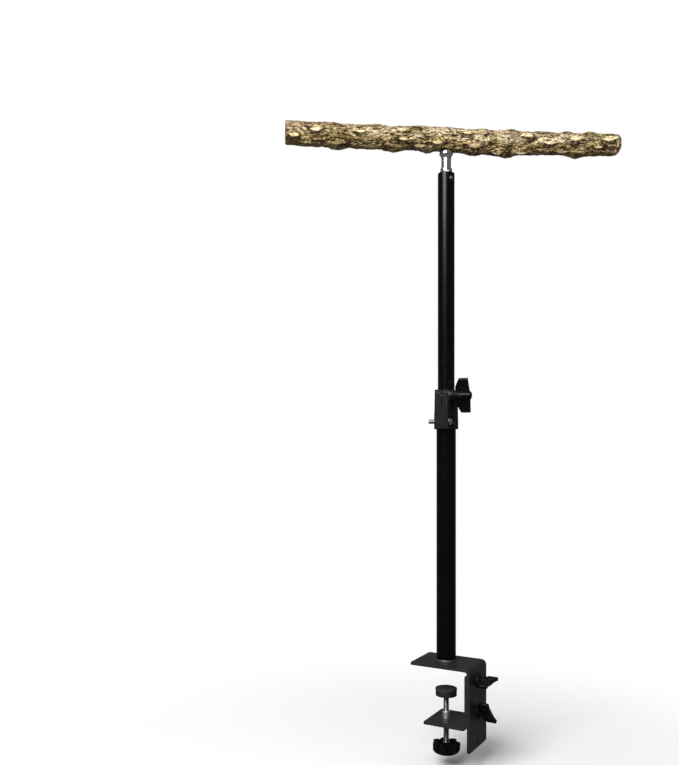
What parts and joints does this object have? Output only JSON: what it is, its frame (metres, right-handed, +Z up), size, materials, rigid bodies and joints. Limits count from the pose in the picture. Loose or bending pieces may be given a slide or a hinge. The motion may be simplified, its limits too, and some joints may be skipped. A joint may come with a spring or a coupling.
{
  "type": "bird perch stand",
  "caption": "Natural branch perch on a chrome stud atop a telescoping two-tube pole, with a split collar and wing knob, held to a table edge by a bent-steel screw clamp.",
  "frame": {"origin": "on the pole's axis, at the underside of the clamp's top plate, which rests on the table", "axes": "+Z up along the pole, +X off the table towards the clamp's outer leg, +Y along the table's edge"},
  "size_m": [0.3273, 0.2442, 0.7146],
  "materials": {
    "black_steel": "satin powder coat",
    "black_tube": "satin black coat",
    "black_plastic": "moulded, fine texture",
    "nylon": "smooth",
    "chrome": "polished",
    "zinc_steel": "bright zinc",
    "dark_rivet": "satin",
    "brass": "plain",
    "rubber": "matt",
    "bark_wood": "natural bark"
  },
  "bodies": {
    "root": {"upper_bracket": "black_steel", "lower_bracket": "black_steel", "screw_bush": "zinc_steel", "pole_foot": "chrome", "foot_bolt": "zinc_steel", "lower_tube": "black_tube", "collar_body": "black_plastic", "collar_nuts": "zinc_steel", "collar_screw": "zinc_steel"},
    "guide": {"guide_bush": "nylon"},
    "mast": {"upper_tube": "black_tube", "stud_rivets": "dark_rivet", "perch_stud": "chrome", "perch_insert": "brass", "perch_branch": "bark_wood"},
    "collar_washer": {"collar_washer": "nylon"},
    "collar_knob": {"collar_knob": "black_plastic", "collar_knob_stud": "zinc_steel"},
    "upper_washer": {"upper_wing_washer": "nylon"},
    "upper_wing": {"upper_wing_knob": "black_plastic", "upper_wing_screw": "zinc_steel"},
    "lower_washer": {"lower_wing_washer": "nylon"},
    "lower_wing": {"lower_wing_knob": "black_plastic", "lower_wing_screw": "zinc_steel"},
    "pad": {"pressure_pad": "black_steel", "pad_rubber": "rubber"},
    "clamp_screw": {"clamp_screw": "zinc_steel", "star_knob": "black_plastic"}
  },
  "joints": [
    {"name": "mast_slide", "type": "slide", "parent": "root", "child": "guide", "axis": [0, 0, 1], "range_m": [-0.225, 0.027]},
    {"name": "mast_turn", "type": "hinge", "parent": "guide", "child": "mast", "pos_m": [0, 0, 0.262], "axis": [0, 0, 1], "continuous": true},
    {"name": "collar_knob_travel", "type": "slide", "parent": "root", "child": "collar_washer", "axis": [0.9925, 0.1219, 0], "range_m": [0, 0.0016]},
    {"name": "collar_knob_turn", "type": "hinge", "parent": "collar_washer", "child": "collar_knob", "pos_m": [0.01133, -0.01271, 0.304], "axis": [0.9925, 0.1219, 0], "range_deg": [0, 720]},
    {"name": "upper_wing_travel", "type": "slide", "parent": "root", "child": "upper_washer", "axis": [1, 0, 0], "range_m": [0, 0.002]},
    {"name": "upper_wing_turn", "type": "hinge", "parent": "upper_washer", "child": "upper_wing", "pos_m": [0.0395, 0, -0.015], "axis": [1, 0, 0], "range_deg": [0, 720]},
    {"name": "lower_wing_travel", "type": "slide", "parent": "root", "child": "lower_washer", "axis": [1, 0, 0], "range_m": [0, 0.002]},
    {"name": "lower_wing_turn", "type": "hinge", "parent": "lower_washer", "child": "lower_wing", "pos_m": [0.0395, 0, -0.049], "axis": [1, 0, 0], "range_deg": [0, 720]},
    {"name": "pad_travel", "type": "slide", "parent": "root", "child": "pad", "axis": [0, 0, 1], "range_m": [-0.0153, 0.0216]},
    {"name": "clamp_screw_turn", "type": "hinge", "parent": "pad", "child": "clamp_screw", "pos_m": [0, 0, -0.038], "axis": [0, 0, 1], "range_deg": [-4320, 6120]}
  ],
  "couplings": [
    {"joint": "collar_knob_travel", "follows": "collar_knob_turn", "m_per_rad": 0.00012732},
    {"joint": "upper_wing_travel", "follows": "upper_wing_turn", "m_per_rad": 0.00015915},
    {"joint": "lower_wing_travel", "follows": "lower_wing_turn", "m_per_rad": 0.00015915},
    {"joint": "pad_travel", "follows": "clamp_screw_turn", "m_per_rad": 0.00020213}
  ]
}
